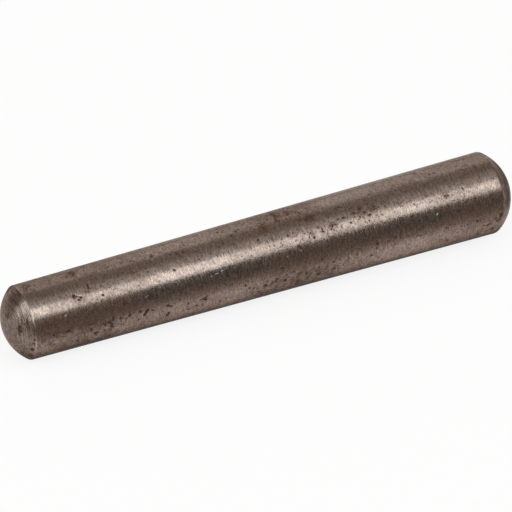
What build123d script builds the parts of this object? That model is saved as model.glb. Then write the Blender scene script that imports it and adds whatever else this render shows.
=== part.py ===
from build123d import *
import os

# A solid taper pin, turned and ground from one piece of steel bar: a slim cone that grows by one
# unit of diameter in fifty of length, with a ball-shaped crown on each end. It joins a hub or a
# lever to its shaft by being driven, small end first, into a hole reamed to the same taper.
#
# Millimetres, +Z up. The pin lies along X with its small end towards -X. The origin is on its
# axis, in the plane where the small crown meets the cone: the nominal diameter is gauged there.

# Driving dimensions
small_end_diameter = 8.0  # nominal diameter, where the cone meets the small crown
cone_length = 54.4  # between the two crowns: a nominal 55 within its cutting tolerance
length_per_unit_taper = 50.0  # length in which the diameter grows by one
small_crown_height = 2.0  # rise of the crown on the small end
large_crown_height = 2.5  # rise of the crown on the large end
large_crown_offset = 0.13  # the large crown was turned this far off the pin's axis
large_crown_offset_angle = 50.0  # direction of that offset, in degrees from +Y towards +Z
small_edge_radius = 0.45  # worn rounding between the cone and the small crown
large_edge_radius = 0.55  # worn rounding between the cone and the large crown

# Where the tips of the crowns lie along the pin
small_tip = -small_crown_height
large_tip = cone_length + large_crown_height


def cone_radius(x):
    """Radius of the cone at a place along the pin."""
    return small_end_diameter / 2 + x / length_per_unit_taper / 2


def ball_radius(edge_radius, crown_height):
    """Radius of the ball whose cap rises this high above an edge of this radius."""
    return (edge_radius**2 + crown_height**2) / (2 * crown_height)


def turned_blank():
    """The bare cone, with square ends where the tips of the crowns will be."""
    half_section = Polyline(
        (small_tip, 0),
        (small_tip, cone_radius(small_tip)),
        (large_tip, cone_radius(large_tip)),
        (large_tip, 0),
        close=True,
    )
    return revolve(make_face(half_section), Axis.X)


def crowning_cut(radius):
    """All that is turned away around a crown, which is a half ball facing +X, centred here."""
    ball = RadiusArc((0, radius), (radius, 0), radius)
    outside = Polyline((radius, 0), (radius, 2 * radius), (0, 2 * radius), (0, radius))
    return revolve(make_face(ball + outside), Axis.X)


def crown_small_end(pin):
    """Turns the small end to a ball whose edge lies in the gauge plane."""
    radius = ball_radius(cone_radius(0), small_crown_height)
    return pin - Pos(small_tip + radius, 0, 0) * Rotation(0, 180, 0) * crowning_cut(radius)


def crown_large_end(pin):
    """Turns the large end to a ball whose centre is a little off the axis, along Y."""
    radius = ball_radius(cone_radius(cone_length), large_crown_height)
    return pin - Pos(large_tip - radius, large_crown_offset, 0) * crowning_cut(radius)


def rim(pin, end):
    """The edge that the cone shares with a crown: end 0 is the small one, end -1 the large one."""
    cone = pin.faces().filter_by(GeomType.CONE).sort_by(SortBy.AREA)[-1]
    crown = pin.faces().sort_by(Axis.X)[end]
    return cone.edges() & crown.edges()


def taper_pin():
    """The finished pin: cone, two crowns and the worn rounding of their edges."""
    pin = crown_large_end(crown_small_end(turned_blank()))
    pin = fillet(rim(pin, 0), small_edge_radius)
    pin = fillet(rim(pin, -1), large_edge_radius)
    return Rotation(large_crown_offset_angle, 0, 0) * pin


os.makedirs("parts", exist_ok=True)
export_step(taper_pin(), "parts/taper_pin.step")
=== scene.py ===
import math

import bpy
import numpy as np
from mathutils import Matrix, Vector


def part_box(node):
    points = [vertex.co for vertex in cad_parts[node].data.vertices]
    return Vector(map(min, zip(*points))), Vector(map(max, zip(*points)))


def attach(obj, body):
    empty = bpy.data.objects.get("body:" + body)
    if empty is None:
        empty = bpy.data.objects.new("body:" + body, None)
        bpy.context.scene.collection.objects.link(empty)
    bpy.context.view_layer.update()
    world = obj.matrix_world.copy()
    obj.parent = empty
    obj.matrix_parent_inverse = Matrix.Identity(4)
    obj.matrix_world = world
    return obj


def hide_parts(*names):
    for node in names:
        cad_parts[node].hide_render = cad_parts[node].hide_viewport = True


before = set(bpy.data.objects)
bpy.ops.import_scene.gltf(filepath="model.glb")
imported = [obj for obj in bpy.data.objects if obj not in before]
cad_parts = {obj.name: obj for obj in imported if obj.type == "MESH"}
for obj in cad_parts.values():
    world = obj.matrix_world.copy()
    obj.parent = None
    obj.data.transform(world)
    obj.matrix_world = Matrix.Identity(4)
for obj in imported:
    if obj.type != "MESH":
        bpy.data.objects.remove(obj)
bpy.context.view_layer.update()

# ---------------------------------------------------------------------------------------------
# The camera. A long lens that looks down on the pin from its front left, so that the small
# crown shows nearly whole and the large one as a thin sickle. The pin fills the view's width.
# ---------------------------------------------------------------------------------------------
MM = 0.001
pin_low, pin_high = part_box("taper_pin")
pin_middle = Vector(((pin_low.x + pin_high.x) / 2, 0, 0))
view_turn = math.radians(-25.08)
view_height = math.radians(36.83)
view_distance = 372 * MM
aim_right = -0.526 * MM
aim_up = -0.053 * MM
lens_length = 246.1
sensor_width = 36

to_camera = Vector(
    (
        math.sin(view_turn) * math.cos(view_height),
        -math.cos(view_turn) * math.cos(view_height),
        math.sin(view_height),
    )
)
camera_right = Vector((math.cos(view_turn), math.sin(view_turn), 0))
camera_up = to_camera.cross(camera_right)
aim = pin_middle + aim_right * camera_right + aim_up * camera_up
bpy.ops.object.camera_add(
    location=aim + view_distance * to_camera,
    rotation=to_camera.to_track_quat("Z", "Y").to_euler(),
)
camera = bpy.context.object
camera.name = "camera"
camera.data.sensor_width = sensor_width
camera.data.lens = lens_length
camera.data.clip_start = 10 * MM
bpy.context.scene.camera = camera

# ---------------------------------------------------------------------------------------------
# The pin. One piece of carbon steel bar, ground to a cone of one in fifty, with a ball-shaped
# crown turned on each end, the large one a little off the pin's axis. It is bare steel with a brown
# tarnish, pitted and rusty in places. Painted shade browns it on its far side and in long bands, and
# a painted highlight runs along the small rim. It lies on its side.
# ---------------------------------------------------------------------------------------------
small_radius = 4.0 * MM
taper = 1 / 50
large_rise = 2.5 * MM
cone_end = pin_high.x - large_rise
large_radius = small_radius + cone_end * taper / 2
small_edge_round = 0.45 * MM
large_edge_round = 0.55 * MM
crown_rings = 24
edge_rings = 4
cone_cuts = (20, 19)
turns = 204
near = 0.01 * MM
touching = 0.001 * MM
no_length = 1e-12


def ball_radius(edge_radius, rise):
    """Radius of the ball whose cap rises this high above an edge of this radius."""
    return (edge_radius**2 + rise**2) / (2 * rise)


def pick(mesh, wanted):
    """Selects the vertices whose place passes a test, and leaves the mesh in edit mode."""
    bpy.ops.object.mode_set(mode="EDIT")
    bpy.ops.mesh.select_mode(type="VERT")
    bpy.ops.mesh.select_all(action="DESELECT")
    bpy.ops.object.mode_set(mode="OBJECT")
    for vertex in mesh.vertices:
        vertex.select = bool(wanted(vertex.co))
    bpy.ops.object.mode_set(mode="EDIT")


small_ball = ball_radius(small_radius, -pin_low.x)
large_ball = ball_radius(large_radius, large_rise)
small_sweep = math.asin(small_radius / small_ball)
large_sweep = math.asin(large_radius / large_ball)

# Half of the long section, drawn as one line: small crown, cone, large crown
bpy.ops.object.select_all(action="DESELECT")
bpy.ops.mesh.primitive_plane_add(size=MM, location=(pin_low.x, 0, 0))
pin = bpy.context.object
pin.name = "ground_pin"
bpy.ops.object.transform_apply(location=True)
bpy.ops.object.mode_set(mode="EDIT")
bpy.ops.mesh.select_all(action="SELECT")
bpy.ops.mesh.merge(type="CENTER")
bpy.ops.mesh.spin(
    steps=crown_rings, angle=small_sweep, center=(pin_low.x + small_ball, 0, 0), axis=(0, -1, 0)
)
pick(pin.data, lambda co: co.z > small_radius - near)
bpy.ops.mesh.extrude_region_move(
    TRANSFORM_OT_translate={"value": (cone_end, 0, large_radius - small_radius)}
)
bpy.ops.mesh.spin(
    steps=crown_rings, angle=large_sweep, center=(pin_high.x - large_ball, 0, 0), axis=(0, -1, 0)
)

# The two corners are rounded. Then the cone's line is cut twice, because one cut into so many
# rings is past what the tool takes, and the whole line is spun round the axis
for corner, radius, sweep in (
    (Vector((0, 0, small_radius)), small_edge_round, small_sweep),
    (Vector((cone_end, 0, large_radius)), large_edge_round, large_sweep),
):
    pick(pin.data, lambda co: (co - corner).length < near)
    corner_turn = math.pi / 2 - sweep
    bpy.ops.mesh.bevel(
        offset=radius * math.tan(corner_turn / 2),
        segments=edge_rings,
        affect="VERTICES",
        clamp_overlap=True,
    )
bpy.ops.object.mode_set(mode="OBJECT")
cone_line = max(
    (sorted(pin.data.vertices[index].co.x for index in edge.vertices) for edge in pin.data.edges),
    key=lambda ends: ends[1] - ends[0],
)
for cuts in cone_cuts:
    pick(pin.data, lambda co: cone_line[0] - touching < co.x < cone_line[1] + touching)
    bpy.ops.mesh.subdivide(number_cuts=cuts)
bpy.ops.mesh.select_all(action="SELECT")
bpy.ops.mesh.spin(
    steps=turns, angle=2 * math.pi, center=(0, 0, 0), axis=(1, 0, 0), use_auto_merge=True
)
bpy.ops.mesh.select_all(action="SELECT")
bpy.ops.mesh.remove_doubles(threshold=touching)
bpy.ops.mesh.normals_make_consistent(inside=False)
bpy.ops.object.mode_set(mode="OBJECT")
bpy.ops.object.shade_smooth()

# Ahead, left and up are the columns of place, so what is added to one of them moves the points
place = np.array([vertex.co for vertex in pin.data.vertices])
normals = np.array([vertex.normal for vertex in pin.data.vertices])
ahead, left, up = place.T
reach = np.hypot(left, up)

# How far each point lies from the small tip, over the surface: the tools' marks run round the
# pin at one such distance, on the crowns as on the cone
on_small_crown = small_ball * np.arctan2(reach, pin_low.x + small_ball - ahead)
on_cone = small_ball * small_sweep + ahead
on_large_crown = small_ball * small_sweep + cone_end
on_large_crown = on_large_crown + large_ball * (
    large_sweep - np.arctan2(reach, ahead - pin_high.x + large_ball)
)
distance = np.where(ahead < 0, on_small_crown, np.where(ahead > cone_end, on_large_crown, on_cone))

# The two rims lie at these distances, in millimetres
small_rim = small_ball * small_sweep / MM
large_rim = small_rim + cone_end / MM

# How far round each point lies, in degrees from the top to the front, and where it lies before
# the pin is worn: the marks below are set out on that form
around = np.degrees(np.arctan2(-left, up))
unworn = place.copy()


def keep(name, values):
    """Stores one number for each of the pin's vertices, for its material to read."""
    attribute = pin.data.attributes.new(name, "FLOAT", "POINT")
    attribute.data.foreach_set("value", np.asarray(values, np.float32))


def on_pin(along, turn):
    """The point at this many millimetres along the axis and degrees from the top to the front."""
    if along < 0:
        radius = math.sqrt(small_ball**2 - (pin_low.x + small_ball - along * MM) ** 2)
    elif along * MM > cone_end:
        radius = math.sqrt(large_ball**2 - (along * MM - pin_high.x + large_ball) ** 2)
    else:
        radius = small_radius + along * MM * taper / 2
    turn = math.radians(turn)
    return np.array((along * MM, -radius * math.sin(turn), radius * math.cos(turn)))


def away(mark):
    """For each vertex, its distance from a mark's line, with half the mark's width as 1."""
    *start, end_along, end_turn, width = mark
    start = on_pin(*start)
    line = on_pin(end_along, end_turn) - start
    part = np.clip((unworn - start) @ line / max(line @ line, no_length), 0, 1)
    return np.linalg.norm(unworn - start - part[:, None] * line, axis=1) / (width / 2 * MM)


def nearness(marks):
    """For each vertex, 1 at the middle of a mark, 0 at its edge and down to -1 outside it."""
    return np.maximum(1 - np.min([away(mark) for mark in marks], axis=0), -1)


def spots(*rows):
    """Round marks, as lines that end where they start."""
    return [(along, turn, along, turn, width) for along, turn, width in rows]


# Pits: millimetres along from the small rim, degrees round from the top to the front, millimetres
# across
pits = spots(
    # The small crown and its rim
    (-1.24, 76, 0.36), (-1.15, 59, 0.5), (-1.15, 67, 0.46), (-0.31, 119, 0.34), (-0.3, 102, 0.4),
    (-0.16, 90, 0.3), (-0.14, 82, 0.34),
    # Along the top
    (12.1, 23, 0.26), (14.6, 5, 0.3), (14.7, 1, 0.26), (16.6, 11, 0.36), (16.9, 8, 0.24),
    (17.3, 12, 0.24), (17.6, 18, 0.24), (17.95, 12, 0.26), (18.1, -2, 0.24), (18.5, 1, 0.24),
    (19.3, 18, 0.24), (22.6, -8, 0.26), (23.1, -5, 0.3), (23.7, 9, 0.3), (24.4, 3, 0.3), (24.8, 0, 0.32),
    (32.1, 18, 0.26), (32.7, 15, 0.28), (36.1, 12, 0.26), (38.1, 24, 0.28), (39.9, 6, 0.34),
    (42.6, 7, 0.24), (46.3, -15, 0.36), (46.6, 14, 0.26), (47.5, -1, 0.3), (48.0, -1, 0.36),
    (49.3, -13, 0.24), (50.8, -3, 0.24), (50.9, 9, 0.24),
    # Above and in the highlight
    (5.1, 33, 0.62), (5.45, 35, 0.26), (5.5, 41, 0.3), (5.75, 38, 0.34), (8.1, 44, 0.3), (13.6, 28, 0.24),
    (16.3, 36, 0.28), (26.2, 27, 0.34), (27.7, 31, 0.28), (29.5, 33, 0.3), (31.7, 44, 0.24),
    (32.2, 47, 0.32), (33.0, 33, 0.26), (35.0, 41, 0.24), (35.6, 40, 0.22), (36.0, 30, 0.3),
    (36.7, 40, 0.26), (38.6, 30, 0.3), (39.0, 36, 0.42), (44.2, 39, 0.26), (50.1, 36, 0.26),
    # Along the front
    (1.5, 77, 0.24), (2.0, 82, 0.26), (3.6, 82, 0.42), (7.7, 89, 0.3), (8.15, 87, 0.3), (8.65, 84, 0.26),
    (8.7, 81, 0.32), (9.5, 85, 0.26), (10.1, 88, 0.26), (10.5, 84, 0.42), (11.7, 83, 0.34),
    (13.2, 87, 0.26), (14.8, 85, 0.4), (15.15, 88, 0.34), (16.9, 73, 0.3), (19.25, 88, 0.24),
    (21.9, 71, 0.22), (22.2, 79, 0.24), (23.7, 88, 0.36), (28.0, 76, 0.38), (30.7, 76, 0.3),
    (32.6, 80, 0.36), (36.7, 88, 0.3), (37.0, 80, 0.26), (39.0, 86, 0.26), (39.1, 79, 0.32),
    (40.4, 80, 0.34), (41.3, 77, 0.32), (42.8, 80, 0.3), (44.0, 74, 0.26), (44.2, 85, 0.28),
    (44.6, 72, 0.3), (47.3, 84, 0.3), (49.1, 89, 0.26), (50.2, 85, 0.24), (51.1, 87, 0.32),
    (54.0, 87, 0.5),
    # Low on the front
    (6.2, 90, 0.3), (6.65, 100, 0.42), (7.65, 99, 0.26), (8.5, 91, 0.28), (8.5, 95, 0.3),
    (11.5, 97, 0.24), (14.7, 104, 0.3), (14.95, 100, 0.36), (17.15, 92, 0.32), (17.2, 104, 0.3),
    (18.1, 101, 0.3), (18.5, 92, 0.28), (19.0, 90, 0.34), (19.15, 94, 0.3), (20.8, 106, 0.26),
    (24.2, 95, 0.28), (24.6, 97, 0.26), (26.0, 99, 0.46), (27.3, 92, 0.28), (28.3, 99, 0.4),
    (29.8, 94, 0.3), (30.8, 97, 0.3), (32.2, 92, 0.3), (32.2, 105, 0.4), (36.7, 94, 0.28),
    (38.4, 97, 0.26), (44.7, 96, 0.26), (46.9, 104, 0.32), (47.7, 110, 0.32), (49.5, 90, 0.24),
    (52.5, 100, 0.3), (53.2, 111, 0.4),
)
# Long marks: where the line starts, where it ends, and its width
pits += [
    (6.9, 21, 6.9, 28, 0.22),
    (12.15, 91, 12.5, 83, 0.34),
    (30.3, 53, 30.4, 58, 0.24),
]
# Rust, given as the pits are, and bright scratches, given as long marks
rust_patches = spots(
    (27.2, 14, 1.3), (29.2, -16, 1.1), (29.3, -5, 0.8), (30.8, -7, 0.9),
    (29.2, 4, 0.7), (32.3, 17, 1.1), (31.6, 15, 0.7), (33.0, 14, 0.7), (37.4, 27, 0.7),
    (38.2, 23, 0.55), (41.2, 26, 0.8), (42.5, 33, 0.6), (39.8, 27, 0.6), (47.9, 43, 0.95),
    (25.3, 110, 0.7), (25.8, 117, 0.8), (53.9, 93, 1.0), (27.5, 7, 0.6), (34.5, 38, 0.7),
    (-1.63, 12, 0.8), (-1.2, 66, 0.8), (1.0, -6, 1.0),
)
rust_patches += [(6.0, -14, 6.0, -4, 1.1)]
scratches = [
    (3.6, 59, 3.7, 56, 0.22),
    (12.5, 64, 12.8, 62, 0.2),
    (20.0, 60, 21.9, 55, 0.14),
    (21.1, 35, 21.5, 34, 0.14),
    (28.6, 61, 28.9, 63, 0.12),
    (35.8, 85, 36.7, 104, 0.15),
    (44.4, 46, 45.2, 42, 0.13),
    (45.2, 42, 46.0, 41, 0.13),
    (1.9, 40, 2.1, 41, 0.22),
    (1.5, 47, 1.7, 46, 0.22),
    (46.4, 62, 46.5, 61, 0.34),
    (20.5, 66, 21.0, 66, 0.14),
    (10.8, 61, 10.9, 61, 0.2),
    (39.3, 75, 39.5, 75, 0.2),
    (6.6, 110, 6.8, 110, 0.2),
    (9.0, 101, 9.1, 100, 0.22),
    (-1.37, 79, -1.31, 89, 0.2),
]
# Broad patches of tarnish, and long bands of painted shade: as a long mark, then how much browner the
# steel is there, or brighter if below 0
tarnish_and_shade = [
    # Painted shade: browner all along the side under the pin
    (0, 140, 54.4, 140, 3.1, 1.1),
    # Painted shade: browner all along the upper back edge
    (0, -42, 54.4, -42, 1.5, 1.0),
    # Painted shade: a little browner all along the low front
    (0, 106, 54.4, 106, 3.2, 0.06),
    (-1.9, 0, -1.0, -30, 3.0, 0.08),
    (-1.8, 90, -1.3, 100, 2.4, 0.22),
    (-1.5, 4, -1.5, -25, 1.6, 0.16),
    (55.6, 10, 55.2, 70, 2.2, 0.7),
    (1, 82, 8, 82, 1.7, 0.34),
    (3, 112, 8, 112, 2.5, 0.15),
    (27.5, 98, 33, 98, 3.2, 0.27),
    (2, 4, 9, 4, 2.8, 0.03),
    (51.5, 82, 53, 94, 3.0, 0.2),
    (22, 102, 22.1, 102, 2.5, -0.15),
    (16, 100, 16.1, 100, 2.0, -0.15),
    (22, 76, 26, 76, 2.0, -0.12),
    (40, 102, 44, 102, 3.0, -0.25),
    (14, 43, 22, 43, 2.0, -0.18),
    (1, 29, 6, 29, 1.8, -0.1),
    (0.5, 35, 1.3, 36, 1.2, -0.3),
    (32, 42, 35, 42, 1.8, 0.15),
    (44, 47, 44.5, 47, 2.0, -0.15),
    (38.5, 30, 40.5, 28, 1.6, 0.2),
    (0, -16, 9, -16, 5.0, 0.14),
    (36, -18, 47, -18, 4.0, -0.22),
    (15, -12, 20, -12, 3.0, -0.15),
    (28, -8, 32, -8, 3.5, 0.2),
    # Painted shade: the next two leave the steel barer under the highlight, so it shows darker there
    (14, 62, 54, 62, 1.6, -0.12),
    (12, 65, 26, 65, 1.4, -0.12),
    (5.5, 39, 5.9, 40, 1.0, 0.3),
    (46.5, 61, 46.6, 61, 0.8, -0.3),
    (20, 10, 22, 10, 2.5, -0.1),
    (43, -2, 47, -2, 3.0, 0.1),
]
# Where the small dots are thickest: as a long mark, then how many more of them, or fewer
speckled = [
    (29, 38, 37, 38, 3.0, 0.3),
    (8, 43, 26, 43, 2.0, -0.3),
    (10, 14, 42, 14, 2.0, 0.3),
    (0.5, 40, 5, 42, 2.0, -0.5),
    (10, 114, 53, 114, 2.0, -0.3),
    (14, -4, 22, 0, 2.5, 0.25),
    (24, -2, 31, -6, 2.5, 0.4),
    (36, 27, 41, 26, 2.0, 0.4),
    (7, 85, 24, 94, 3.0, 0.25),
    (28, 94, 40, 92, 4.0, 0.25),
    (44, 92, 53, 92, 3.5, 0.1),
]
pitted = nearness(pits)
keep("trail", distance / MM)
keep("pitted", pitted)
keep("rusted", nearness(rust_patches))
keep("scratched", nearness(scratches))

# Painted shade: the steel is browner on the side away from the lit top front. A painted highlight
# runs bright along the front of the small rim.
lit_turn = 30
lit_edge = 0.67
shaded_edge = 0.1
facing_light = np.cos(np.radians(around - lit_turn))
keep("shaded_underside", np.clip((lit_edge - facing_light) / (lit_edge - shaded_edge), 0, 1))
rim_glint_turn = 72
rim_glint_spread = 28
keep("rim_glint", np.exp(-(((around - rim_glint_turn) / rim_glint_spread) ** 4)))
keep("tarnished_and_shaded", sum(amount * np.exp(-(away(row) ** 2)) for *row, amount in tarnish_and_shade))
keep("speckled", sum(amount * np.exp(-(away(row) ** 2)) for *row, amount in speckled))

# The large crown's ball is moved off the axis, and the end of the cone follows its slanted rim
large_drift = 0.13 * MM
large_drift_turn = math.radians(50)
drift_fade = 3 * MM
drift_left = large_drift * math.cos(large_drift_turn)
drift_up = large_drift * math.sin(large_drift_turn)
drifted_reach = np.hypot(left - drift_left, up - drift_up)
drifting = np.clip((ahead - cone_end) / drift_fade + 1, 0, 1)
ahead += drifting * (np.sqrt(large_ball**2 - drifted_reach**2) - np.sqrt(large_ball**2 - reach**2))

# The small rim is worn back on its front
worn_back = 0.27 * MM
worn_turn = 35
worn_spread = 45
worn_fade = 1.5 * MM
wearing = np.clip(1 - ahead / worn_fade, 0, 1) * np.clip(reach / small_radius, 0, 1) ** 2
ahead += wearing * worn_back * np.exp(-(((around - worn_turn) / worn_spread) ** 2))

# The pits are real hollows
pit_depth = 0.06 * MM
hollow = np.clip(pitted, 0, 1)
place -= pit_depth * (hollow * hollow * (3 - 2 * hollow))[:, None] * normals
pin.data.vertices.foreach_set("co", place.astype(np.float32).ravel())


class Shade:
    """A socket in a material. Arithmetic on it adds the Math nodes that work it out."""

    def __init__(self, tree, socket=None):
        self.tree = tree
        self.socket = socket

    def add(self, kind, settings={}, sockets={}, output=0):
        """Adds any other node: its settings first, then the values or links of its sockets."""
        node = self.tree.nodes.new(kind)
        for name, value in settings.items():
            setattr(node, name, value)
        for name, value in sockets.items():
            if isinstance(value, Shade):
                self.tree.links.new(value.socket, node.inputs[name])
            else:
                node.inputs[name].default_value = value
        return Shade(self.tree, node.outputs[output] if node.outputs else None)

    def maths(self, operation, *values):
        """A Math node on these values."""
        return self.add("ShaderNodeMath", {"operation": operation}, dict(enumerate(values)))

    def __add__(self, other):
        return self.maths("ADD", self, other)

    def __sub__(self, other):
        return self.maths("SUBTRACT", self, other)

    def __rsub__(self, other):
        return self.maths("SUBTRACT", other, self)

    def __mul__(self, other):
        return self.maths("MULTIPLY", self, other)

    __radd__ = __add__
    __rmul__ = __mul__

    def smooth(self, low, high):
        """0 below low, 1 above high, and a smooth step between them."""
        return self.add(
            "ShaderNodeMapRange",
            {"interpolation_type": "SMOOTHSTEP"},
            {"Value": self, "From Min": low, "From Max": high},
        )

    def clear(self):
        """This value kept between 0 and 1."""
        return self.add("ShaderNodeClamp", {}, {"Value": self})

    def blend(self, under, over):
        """Two colours, mixed by this value: under where it is 0, over where it is 1."""
        settings = {"data_type": "RGBA"}
        return self.add("ShaderNodeMix", settings, {0: self, 6: under, 7: over}, output=2)

    def vector(self, operation, *values):
        """A vector node with this one as its first input."""
        values = dict(enumerate((self, *values)))
        return self.add("ShaderNodeVectorMath", {"operation": operation}, values)


# The steel bare, browner on its far side as painted shade, in scratches and in the painted rim highlight,
# then what covers it
dull_steel = (0.15, 0.112, 0.088, 1)
bright_steel = (0.45, 0.385, 0.345, 1)
dull_shaded_steel = (0.165, 0.105, 0.08, 1)
bright_shaded_steel = (0.49, 0.36, 0.305, 1)
scratch_and_glint_steel = (0.6, 0.55, 0.5, 1)
steel_glint = (0.7, 0.67, 0.64, 1)
thin_oxide = (0.106, 0.056, 0.036, 1)
thick_oxide = (0.06, 0.032, 0.02, 1)
rust_brown = (0.07, 0.032, 0.017, 1)
pit_brown = (0.045, 0.023, 0.015, 1)
relief = 0.019 * MM
steel = bpy.data.materials.new("ground_steel")
steel.use_nodes = True
steel.node_tree.nodes.clear()
shade = Shade(steel.node_tree)


def layer(name):
    """One of the numbers kept on the pin's vertices."""
    return shade.add("ShaderNodeAttribute", {"attribute_name": name}, output="Fac")


across = shade.add("ShaderNodeTexCoord", output="Object").vector("MULTIPLY", (0, 1 / MM, 1 / MM))
trail = layer("trail")
skin = shade.add("ShaderNodeCombineXYZ", {}, {"X": trail}).vector("ADD", across)


def grain(along, round_it, detail, start, twist=0.0):
    """Noise about 0, with features this many millimetres long along the pin and round it."""
    scaled = skin.vector("MULTIPLY_ADD", (1 / along, 1 / round_it, 1 / round_it), (start,) * 3)
    sockets = {"Vector": scaled, "Scale": 1.0, "Detail": detail, "Roughness": 0.6, "Distortion": twist}
    return shade.add("ShaderNodeTexNoise", {}, sockets) - 0.5


uneven = shade.add("ShaderNodeTexNoise", {}, {"Vector": skin, "Scale": 3.0}, output="Color")
uneven_skin = uneven.vector("MULTIPLY_ADD", (0.3, 0.3, 0.3), skin)


def specks(density, size, share, start):
    """Rough dots, this many to a millimetre, of this size in millimetres. This share is shown."""
    spread = uneven_skin.vector("MULTIPLY_ADD", (density,) * 3, (start,) * 3)
    sockets = {"Vector": spread, "Scale": 1.0, "Randomness": 1.0}
    from_dot = shade.add("ShaderNodeTexVoronoi", {}, sockets, output="Distance")
    lot = shade.add("ShaderNodeTexVoronoi", {}, sockets, output="Color")
    lot = shade.add("ShaderNodeSeparateXYZ", {}, {"Vector": lot}) + 0.5 * patches + layer("speckled")
    return from_dot.smooth(size * density, 0.2 * size * density) * lot.smooth(1 - share, 1.1 - share)


# The grinding wheel's strokes, the grain under them, and the turning tool's rings on the crowns
strokes = grain(0.17, 0.8, detail=2.0, start=3.0, twist=0.5)
fine_strokes = grain(0.12, 0.3, detail=1.0, start=11.0)
round_grain = grain(0.2, 0.2, detail=2.0, start=17.0)
mottle = grain(0.6, 0.6, detail=4.0, start=23.0)
patches = grain(5.0, 3.0, detail=3.0, start=37.0)
rings = grain(0.13, 9.0, detail=1.0, start=51.0)
small_crown = trail.smooth(small_rim + 0.05, small_rim - 0.1)
large_crown = trail.smooth(large_rim - 0.05, large_rim + 0.1)
crown = small_crown + large_crown
# A painted highlight along the small rim, where the steel is also a little smoother, and brighter still
# along the rim's front
smooth_rim_and_glint = trail.smooth(small_rim - 0.12, small_rim) * trail.smooth(small_rim + 0.12, small_rim)
painted_rim_glint = trail.smooth(small_rim - 0.2, small_rim) * trail.smooth(small_rim + 0.2, small_rim)
painted_rim_glint = painted_rim_glint * layer("rim_glint")

# What covers the steel: scratches and the painted rim highlight are clear of it, and the rest is tarnish
# with bands of painted shade, rust, pits and dots
scratch_and_glint = ((layer("scratched") + 0.4 * fine_strokes).smooth(0.0, 0.8) + 0.45 * painted_rim_glint).clear()
film_and_shade = 0.32 + layer("tarnished_and_shaded") + 0.2 * patches + 1.2 * mottle + 0.85 * round_grain
film_and_shade = (film_and_shade + 0.6 * rings * crown - 0.08 * smooth_rim_and_glint - 0.4 * scratch_and_glint).clear()
rust = (layer("rusted") + 2.2 * mottle + 3.0 * round_grain).smooth(-0.6, 1.2)
halo = (layer("pitted") + 1.0 * mottle).smooth(-0.9, 0.4)
pit = (layer("pitted") + 1.2 * round_grain + 1.2 * mottle).smooth(-0.35, 0.8)
small_dots = specks(density=3.6, size=0.11, share=0.6, start=5.0)
large_dots = specks(density=1.9, size=0.17, share=0.35, start=9.0)
dots = (small_dots + large_dots) * (1 - 0.8 * crown)
dots = dots * (1 - 0.8 * painted_rim_glint)

# The steel itself, browner on its far side as painted shade
bright = 0.5 + 1.2 * strokes + 1.2 * fine_strokes + 0.9 * round_grain + 0.3 * mottle
bright = bright + 1.8 * rings * crown + 0.3 * smooth_rim_and_glint
colour = bright.clear().blend(dull_steel, bright_steel)
shaded_brown = bright.clear().blend(dull_shaded_steel, bright_shaded_steel)
colour = layer("shaded_underside").blend(colour, shaded_brown)
colour = scratch_and_glint.blend(colour, scratch_and_glint_steel)
roughness = 0.22 + 0.3 * strokes + 0.1 * film_and_shade + 0.3 * scratch_and_glint - 0.05 * smooth_rim_and_glint

# One fine relief for both, then the bare metal and the oxide
height = 0.45 * strokes + 0.25 * fine_strokes + 0.3 * round_grain + 0.12 * mottle - 0.7 * pit
height = height - 0.15 * dots + 0.1 * scratch_and_glint + 2.4 * rings * crown
height = height * (1 - 0.4 * layer("shaded_underside"))
bump = shade.add("ShaderNodeBump", {}, {"Height": height, "Distance": relief})
metal = shade.add(
    "ShaderNodeBsdfPrincipled",
    {},
    {
        "Base Color": colour,
        "Metallic": 1.0,
        "Roughness": roughness,
        "Specular Tint": steel_glint,
        "Normal": bump,
    },
)

oxide_colour = film_and_shade.smooth(0.3, 0.9).blend(thin_oxide, thick_oxide)
oxide_colour = rust.blend(oxide_colour, rust_brown)
oxide_colour = (pit + 0.8 * dots).clear().blend(oxide_colour, pit_brown)
oxide = shade.add(
    "ShaderNodeBsdfPrincipled",
    {},
    {"Base Color": oxide_colour, "Roughness": 0.6, "Specular IOR Level": 0.1, "Normal": bump},
)

cover_and_shade = film_and_shade + 0.5 * rust + 0.1 * halo + 0.8 * pit + 0.6 * dots
surface = shade.add("ShaderNodeMixShader", {}, {0: cover_and_shade.clear(), 1: metal, 2: oxide})
shade.add("ShaderNodeOutputMaterial", {}, {"Surface": surface})
pin.data.materials.append(steel)
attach(pin, "root")
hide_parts("taper_pin")

# ---------------------------------------------------------------------------------------------
# The table. A wide board, painted a plain pale colour, that the pin lies on. It is tilted by the
# pin's half taper, so that the cone touches it all along. It shows mostly white, to the eye and in
# the steel, and keeps a soft shadow.
# ---------------------------------------------------------------------------------------------
board_side = 3
whiteness = 0.85
board_pale = (0.92, 0.92, 0.92, 1)
bpy.ops.object.select_all(action="DESELECT")
bpy.ops.mesh.primitive_plane_add(
    size=board_side, location=(0, 0, -small_radius), rotation=(0, math.atan(taper / 2), 0)
)
table = bpy.context.object
table.name = "table"
board = bpy.data.materials.new("pale_board")
board.use_nodes = True
board.node_tree.nodes.clear()
shade = Shade(board.node_tree)
paint = shade.add("ShaderNodeBsdfDiffuse", {}, {"Color": board_pale})
white = shade.add("ShaderNodeEmission", {}, {"Color": (1, 1, 1, 1), "Strength": 1.0})
seen = shade.add("ShaderNodeLightPath", output="Is Camera Ray")
seen = seen + shade.add("ShaderNodeLightPath", output="Is Glossy Ray")
seen = seen + shade.add("ShaderNodeLightPath", output="Is Transmission Ray")
surface = shade.add("ShaderNodeMixShader", {}, {0: whiteness * seen.clear(), 1: paint, 2: white})
shade.add("ShaderNodeOutputMaterial", {}, {"Surface": surface})
table.data.materials.append(board)

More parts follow.
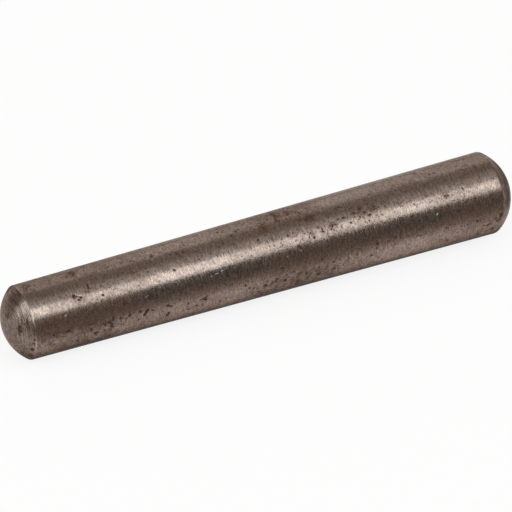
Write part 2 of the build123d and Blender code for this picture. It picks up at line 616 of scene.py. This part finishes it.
# ---------------------------------------------------------------------------------------------
# The shade card. A low strip of card stands close in front of the pin, pale at its foot and dark
# at its top. Only the steel's reflection shows it, as the soft dark band under the highlight.
# ---------------------------------------------------------------------------------------------
card_near = 10 * MM
card_top = 6 * MM
card_height = card_top + small_radius
card_length = 110 * MM
pale_foot = 7.6 * MM
card_dark = (0.135, 0.128, 0.12, 1)
card_pale = (0.88, 0.77, 0.72, 1)
fading = 2.3
bpy.ops.object.select_all(action="DESELECT")
bpy.ops.mesh.primitive_plane_add(
    size=1,
    location=(pin_middle.x, -card_near, card_top - card_height / 2),
    rotation=(math.pi / 2, 0, 0),
)
card = bpy.context.object
card.name = "shade_card"
card.scale = (card_length, card_height, 1)
bpy.ops.object.transform_apply(location=True, rotation=True, scale=True)
graded = bpy.data.materials.new("graded_card")
graded.use_nodes = True
graded.node_tree.nodes.clear()
shade = Shade(graded.node_tree)
place_on_card = shade.add("ShaderNodeTexCoord", output="Object")
height_on_card = shade.add("ShaderNodeSeparateXYZ", {}, {"Vector": place_on_card}, output="Z")
foot = (1 - small_radius / pale_foot - height_on_card * (1 / pale_foot)).clear()
tone = foot.maths("POWER", foot, fading).blend(card_dark, card_pale)
surface = shade.add("ShaderNodeEmission", {}, {"Color": tone})
shade.add("ShaderNodeOutputMaterial", {}, {"Surface": surface})
card.data.materials.append(graded)
card.visible_camera = False
card.visible_diffuse = False
card.visible_shadow = False

# ---------------------------------------------------------------------------------------------
# The light. A row of long soft boxes stands round the pin, from above its front, over its top and
# down behind it, with a small one off its left end. The room around them is dim.
# ---------------------------------------------------------------------------------------------
lamp_away = 600 * MM
plain = (1, 1, 1)
warm = (1, 0.935, 0.89)
room_strength = 0.05


def soft_box(name, outward, length, width, radiance, along=0, colour=plain):
    """A rectangle of light out from the pin, its length as near along X as it can lie."""
    bpy.ops.object.light_add(
        type="AREA",
        location=pin_middle + lamp_away * outward + Vector((along, 0, 0)),
        rotation=outward.to_track_quat("Z", "Y").to_euler(),
    )
    lamp = bpy.context.object
    lamp.name = name
    lamp.data.shape = "RECTANGLE"
    lamp.data.color = colour
    lamp.data.size = length
    lamp.data.size_y = width
    lamp.data.energy = radiance * math.pi * length * width


# Each: the degrees up from the front at which it starts and ends, its length, how far it is moved
# along the pin, its strength and its colour
for name, start, end, length, along, radiance, colour in (
    ("front_soft_box", 40, 68, 2.0, 0, 2.8, plain),
    ("top_soft_box", 68, 92, 2.0, 0, 0.68, plain),
    ("high_soft_box", 92, 127, 2.0, 0, 0.27, warm),
    ("back_soft_box", 127, 176, 1.5, 0.45, 0.88, warm),
):
    middle = math.radians((start + end) / 2)
    outward = Vector((0, -math.cos(middle), math.sin(middle)))
    width = 2 * lamp_away * math.tan(math.radians((end - start) / 2))
    soft_box(name, outward, length, width, radiance, along, colour)
towards_left_end = Vector((-0.837, 0.103, 0.537)).normalized()
soft_box("left_soft_box", towards_left_end, length=0.22, width=0.45, radiance=2.4)

world = bpy.data.worlds.new("studio")
bpy.context.scene.world = world
world.use_nodes = True
world.node_tree.nodes.clear()
shade = Shade(world.node_tree)
room = shade.add("ShaderNodeBackground", {}, {"Color": (1, 1, 1, 1), "Strength": room_strength})
shade.add("ShaderNodeOutputWorld", {}, {"Surface": room})
bpy.context.scene.view_settings.view_transform = "Standard"
